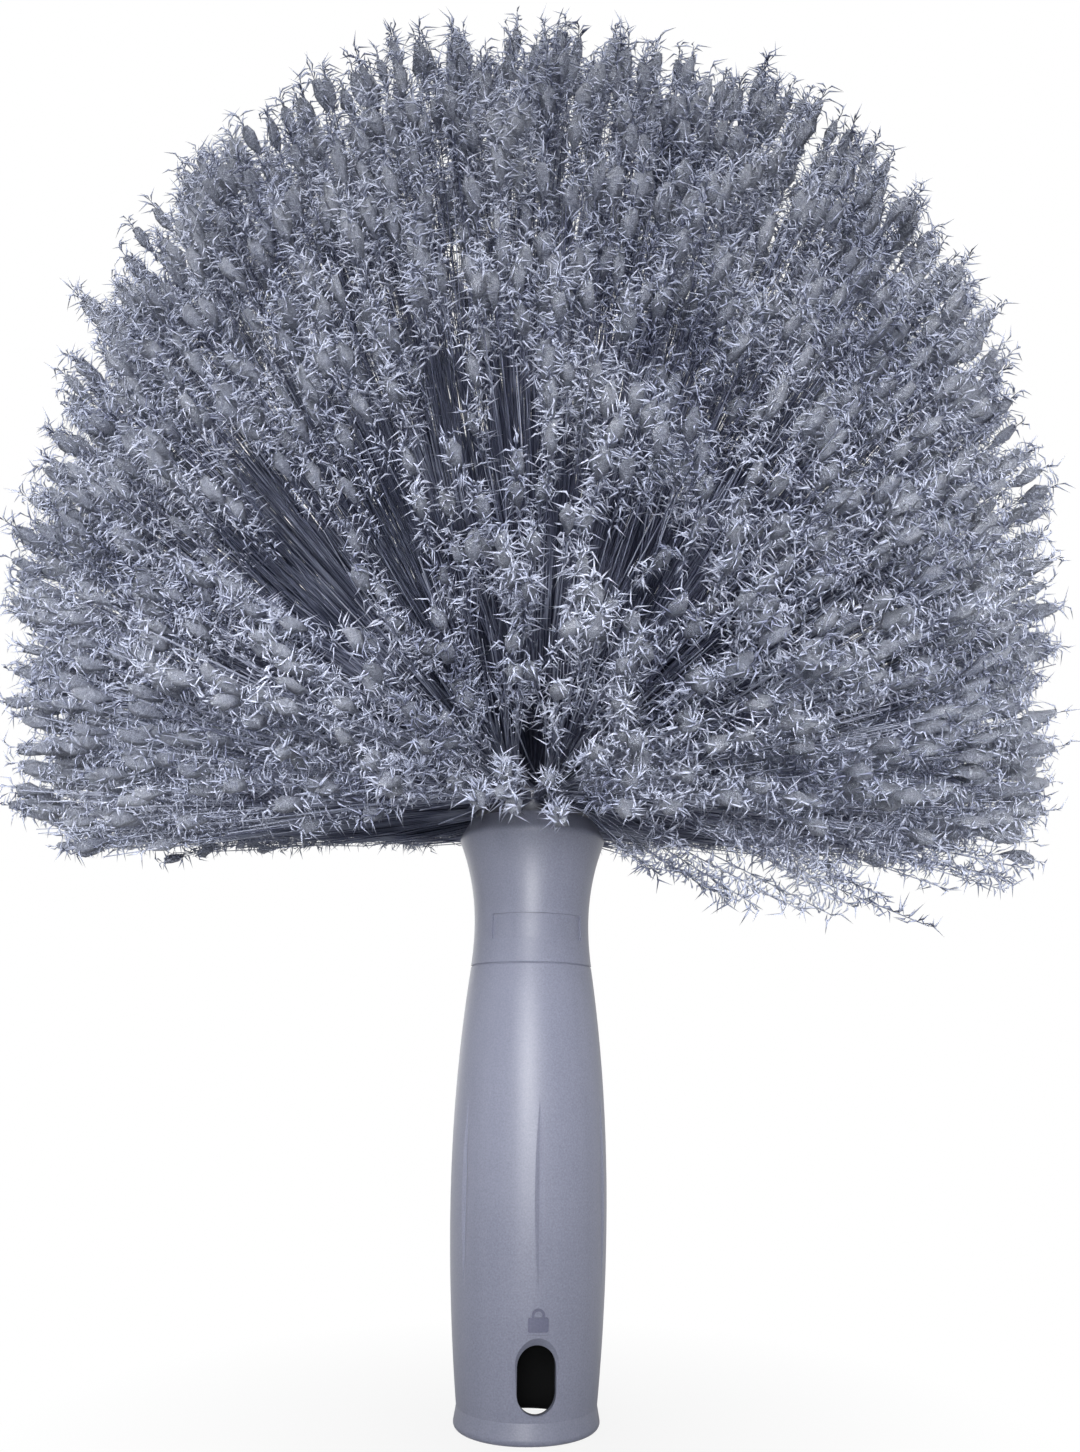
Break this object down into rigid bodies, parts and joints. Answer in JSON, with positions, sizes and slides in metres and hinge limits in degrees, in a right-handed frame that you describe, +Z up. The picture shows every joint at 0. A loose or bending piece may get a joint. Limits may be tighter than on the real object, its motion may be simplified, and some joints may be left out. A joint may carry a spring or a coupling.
{
  "type": "cobweb brush",
  "caption": "Round-headed cobweb brush: long soft bristles fan out from a ball-shaped block in a flared collar, on a hollow hand grip that also takes a pole.",
  "frame": {"origin": "middle of the pole socket's mouth, at the bottom end of the grip", "axes": "+Z up the handle to the bristle head, -Y out through the latch slot in the front of the grip, +X to its right"},
  "size_m": [0.2741, 0.2724, 0.3589],
  "materials": {
    "handle_plastic": "satin moulded polypropylene, blue grey",
    "block_plastic": "moulded, dark blue grey",
    "steel": "zinc plated",
    "bristle": "split-tip filament, blue grey"
  },
  "bodies": {
    "root": {"grip": "handle_plastic", "collar": "handle_plastic", "tuft_block": "block_plastic", "clamp_screw": "steel", "screw_washer": "steel", "tuft_anchors": "steel", "crown_tufts": "bristle", "upper_tufts": "bristle", "shoulder_tufts": "bristle", "side_tufts": "bristle", "skirt_tufts": "bristle"}
  },
  "joints": []
}
